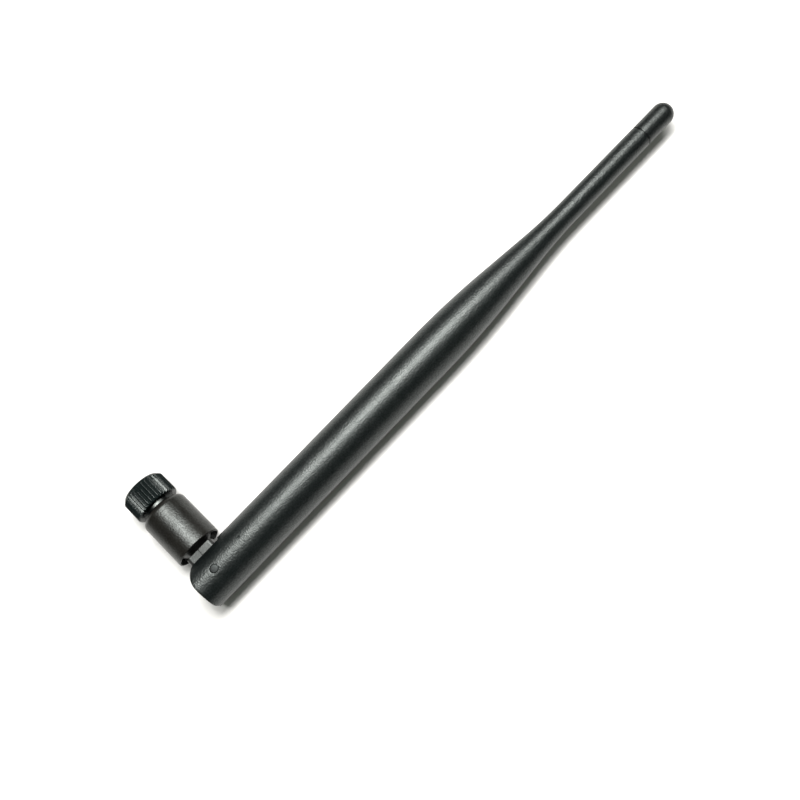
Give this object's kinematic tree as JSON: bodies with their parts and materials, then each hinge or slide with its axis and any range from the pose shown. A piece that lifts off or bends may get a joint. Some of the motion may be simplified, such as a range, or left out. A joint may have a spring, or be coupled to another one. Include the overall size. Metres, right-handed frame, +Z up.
{
  "type": "omnidirectional antenna",
  "caption": "Tilt and swivel whip antenna: tapered black radome folded square on a swivel sleeve, with a ribbed coaxial coupling nut and the coaxial dipole inside.",
  "frame": {"origin": "centre of the connector's mating plane, at the front of its ferrule, where the nut's thread ends", "axes": "+X along the connector towards the hinge, +Y along the folded radome towards its tip, +Z up, parallel to the hinge pins"},
  "size_m": [0.0366, 0.1766, 0.0128],
  "materials": {
    "radome_plastic": "fine spark-textured black moulding",
    "cap_plastic": "fine spark-textured black moulding",
    "sleeve_plastic": "fine spark-textured black moulding",
    "knuckle_plastic": "smooth satin black moulding",
    "yoke_plastic": "smooth satin black moulding",
    "grip_plastic": "semi-gloss black moulding",
    "nut_metal": "black nickel plating, glossy",
    "connector_metal": "gold plated, turned",
    "contact_metal": "gold plated, polished",
    "spring_metal": "bright spring steel",
    "pin_metal": "black oxide",
    "crimp_metal": "nickel plated",
    "choke_metal": "plain drawn brass",
    "solder": "bright tin",
    "copper_wire": "bare copper",
    "ptfe": "white, waxy",
    "coax_jacket": "brown translucent fluoropolymer",
    "shrink_tube": "black heat-shrink",
    "foam": "pale closed-cell foam"
  },
  "bodies": {
    "connector": {"connector_body": "connector_metal", "connector_dielectric": "ptfe", "centre_contact": "contact_metal", "nut_retaining_ring": "spring_metal", "swivel_clip": "spring_metal", "crimp_ferrule": "crimp_metal", "coax_tail": "coax_jacket"},
    "nut": {"nut_insert": "nut_metal", "nut_grip": "grip_plastic"},
    "knuckle": {"base_sleeve": "sleeve_plastic", "knuckle_core": "knuckle_plastic", "coax_hinge": "coax_jacket"},
    "radome": {"radome_shell": "radome_plastic", "hinge_yoke": "yoke_plastic", "tip_cap": "cap_plastic", "hinge_pin_upper": "pin_metal", "hinge_pin_lower": "pin_metal", "coax_upper": "coax_jacket", "choke_sleeve": "choke_metal", "choke_spacer": "ptfe", "choke_solder": "solder", "radiator": "copper_wire", "feed_shrink": "shrink_tube", "coil_shrink": "shrink_tube", "foam_spacer_lower": "foam", "foam_spacer_upper": "foam", "tip_spacer": "foam"}
  },
  "joints": [
    {"name": "nut_spin", "type": "hinge", "parent": "connector", "child": "nut", "pos_m": [0, 0, 0], "axis": [1, 0, 0], "continuous": true},
    {"name": "swivel", "type": "hinge", "parent": "connector", "child": "knuckle", "pos_m": [0.01, 0, 0], "axis": [1, 0, 0], "range_deg": [-180, 180]},
    {"name": "tilt", "type": "hinge", "parent": "knuckle", "child": "radome", "pos_m": [0.0272, 0, 0], "axis": [0, 0, -1], "range_deg": [0, 90], "deforming": ["coax_hinge"]}
  ]
}
